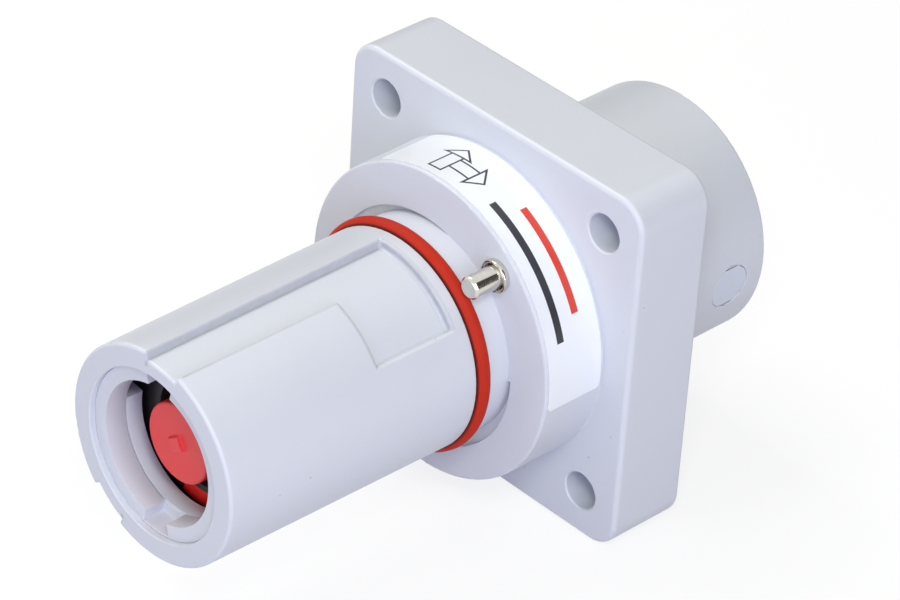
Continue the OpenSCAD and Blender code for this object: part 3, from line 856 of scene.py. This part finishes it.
label_film, shader, place = new_finish("label_film")
axial, _, turned = round_axis(place)
arc = turned * label_r
push_arrow = arrow(-1.0 * axial, arc - PUSH_ARROW_ARC, **PUSH_ARROW)
turn_arrow = arrow(arc, axial - TURN_ARROW_AXIAL, **TURN_ARROW)
outlined = push_arrow.maths("MINIMUM", turn_arrow) < INK_LINE / 2
red_stripe = stripe(arc, axial - RED_STRIPE_AXIAL, *RED_STRIPE_ARC)
dark_stripe = stripe(arc, axial - DARK_STRIPE_AXIAL, *DARK_STRIPE_ARC)
film = mixed(clouds(place, FILM_PATCH), FILM_WHITE, FILM_BRIGHT)
striped = mixed(red_stripe, film, INK_RED)
mixed(strongest(outlined, dark_stripe), striped, INK).into(shader, "Base Color")
between(clouds(place, FILM_SMEAR), *FILM_ROUGHNESS).into(shader, "Roughness")
relief(shader, clouds(place, FILM_WAVE), FILM_WAVE_DEPTH)
dress("label", label_film)


# Studio: a white floor just under the flange, one small lamp high in front to the right, and large soft
# panels on the left, in front and on the right. Two dark cards show only in reflections, where they give
# bright metal its dark streaks. The camera stands where the photograph was taken from.
FLOOR_GAP = 0.1 * MM
FLOOR_SIZE = 6.0
FLOOR_BOUNCE = (0.52, 0.52, 0.55)
FLOOR_SEEN = (0.24, 0.24, 0.24)
FLOOR_UNLIT = (0.0, 0.0, 0.0)
FLOOR_GLOW = (0.79, 0.79, 0.79)
MATT = 0.9
CARD_DISTANCE = 0.5
CARD_HEIGHT = 0.5
CARD_BROWN = (0.06, 0.045, 0.035)
CARD_DARK = (0.03, 0.025, 0.02)
CARD_PATCH = 20 * MM
SURROUND = (0.21, 0.211, 0.212)
LAMP_DISTANCE = 0.5
LAMP_SIZE = 0.12
PANEL_DISTANCE = 0.8
PANEL_SIZE = 0.5
# Each card's direction from the locking pin, and its width
CARDS = {
    "right_card": ((0.664, 0.585, 0.465), 0.45),
    "left_card": ((-0.80, 0.585, 0.15), 0.35),
}
# Each light's direction from the connector's middle, its distance, size, strength and colour
LIGHTS = {
    "key_lamp": ((0.538, -0.468, 0.701), LAMP_DISTANCE, LAMP_SIZE, 0.35, (0.97, 1.0, 0.92)),
    "left_panel": ((-0.6, -0.1, 0.8), PANEL_DISTANCE, PANEL_SIZE, 0.65, (1.0, 1.0, 0.98)),
    "front_panel": ((0.1, -1.0, 0.25), PANEL_DISTANCE, PANEL_SIZE, 0.20, (1.0, 1.0, 1.0)),
    "right_panel": ((0.95, -0.1, 0.3), PANEL_DISTANCE, PANEL_SIZE, 0.28, (1.0, 1.0, 0.97)),
    "low_panel": ((0.7, -0.7, 0.1), PANEL_DISTANCE, PANEL_SIZE, 0.36, (0.52, 0.52, 1.0)),
}
CAMERA_AT = Vector((462.517, -493.876, 454.863)) * MM
CAMERA_AZIMUTH = math.radians(44.634)
CAMERA_ELEVATION = math.radians(34.498)
CAMERA_ROLL = math.radians(3.894)
CAMERA_LENS = 176.14
CAMERA_SENSOR = 36.0


def seen_directly(tree):
    """1 for what is seen straight, in a reflection or through glass, and 0 for the light that it sheds."""
    path = tree.nodes.new("ShaderNodeLightPath")
    rays = ("Is Camera Ray", "Is Glossy Ray", "Is Transmission Ray")
    return strongest(*(Wire(tree, path.outputs[ray]) for ray in rays))


floor_paper, shader, place = new_finish("floor_paper")
shown = seen_directly(place.tree)
mixed(shown, FLOOR_BOUNCE, FLOOR_SEEN).into(shader, "Base Color")
mixed(shown, FLOOR_UNLIT, FLOOR_GLOW).into(shader, "Emission Color")
shader.inputs["Emission Strength"].default_value = 1.0
shader.inputs["Specular IOR Level"].default_value = 0.0
shader.inputs["Roughness"].default_value = MATT
floor_skin = bmesh.new()
floor_at = Matrix.Translation((0.0, 0.0, cad_box[0].z - FLOOR_GAP))
bmesh.ops.create_grid(floor_skin, x_segments=1, y_segments=1, size=FLOOR_SIZE / 2, matrix=floor_at)
floor = added_piece("floor", floor_skin, floor_paper)

card_board, shader, place = new_finish("card_board")
mixed(clouds(place, CARD_PATCH), CARD_BROWN, CARD_DARK).into(shader, "Base Color")
shader.inputs["Roughness"].default_value = MATT
for name, (direction, width) in CARDS.items():
    toward = Vector(direction).normalized()
    facing = toward.to_track_quat("Z", "Y").to_matrix().to_4x4()
    card_at = Matrix.Translation(pin_middle + toward * CARD_DISTANCE) @ facing
    card_shape = card_at @ Matrix.Diagonal((width / 2, CARD_HEIGHT / 2, 1.0, 1.0))
    card_skin = bmesh.new()
    bmesh.ops.create_grid(card_skin, x_segments=1, y_segments=1, size=1.0, matrix=card_shape)
    card = added_piece(name, card_skin, card_board)
    card.visible_camera = card.visible_diffuse = card.visible_shadow = card.visible_transmission = False

world = bpy.data.worlds.new("surround")
bpy.context.scene.world = world
world.use_nodes = True
sky = world.node_tree
sky.nodes.clear()
shown = seen_directly(sky)
dim = shown.node("ShaderNodeBackground", {}, {"Color": (*SURROUND, 1.0), "Strength": 1.0})
white = shown.node("ShaderNodeBackground", {}, {"Color": (1.0, 1.0, 1.0, 1.0), "Strength": 1.0})
surround = shown.node("ShaderNodeMixShader", {}, {0: shown, 1: dim, 2: white})
surround.into(sky.nodes.new("ShaderNodeOutputWorld"), "Surface")

middle = (cad_box[0] + cad_box[1]) / 2
for name, (direction, distance, size, strength, colour) in LIGHTS.items():
    toward = Vector(direction).normalized()
    light = bpy.data.objects.new(name, bpy.data.lights.new(name, "AREA"))
    # A strength of 1 lights a white surface that faces the lamp to 1
    light.data.energy = strength * (math.pi * distance) ** 2
    light.data.size = size
    light.data.color = colour
    light.location = middle + toward * distance
    light.rotation_euler = toward.to_track_quat("Z", "Y").to_euler()
    bpy.context.scene.collection.objects.link(light)

camera = bpy.data.objects.new("camera", bpy.data.cameras.new("camera"))
camera.data.lens = CAMERA_LENS
camera.data.sensor_width = CAMERA_SENSOR
swing = Matrix.Rotation(CAMERA_AZIMUTH, 4, "Z") @ Matrix.Rotation(math.pi / 2 - CAMERA_ELEVATION, 4, "X")
camera.matrix_world = Matrix.Translation(CAMERA_AT) @ swing @ Matrix.Rotation(CAMERA_ROLL, 4, "Z")
bpy.context.scene.collection.objects.link(camera)
bpy.context.scene.camera = camera
bpy.context.scene.view_settings.view_transform = "Standard"
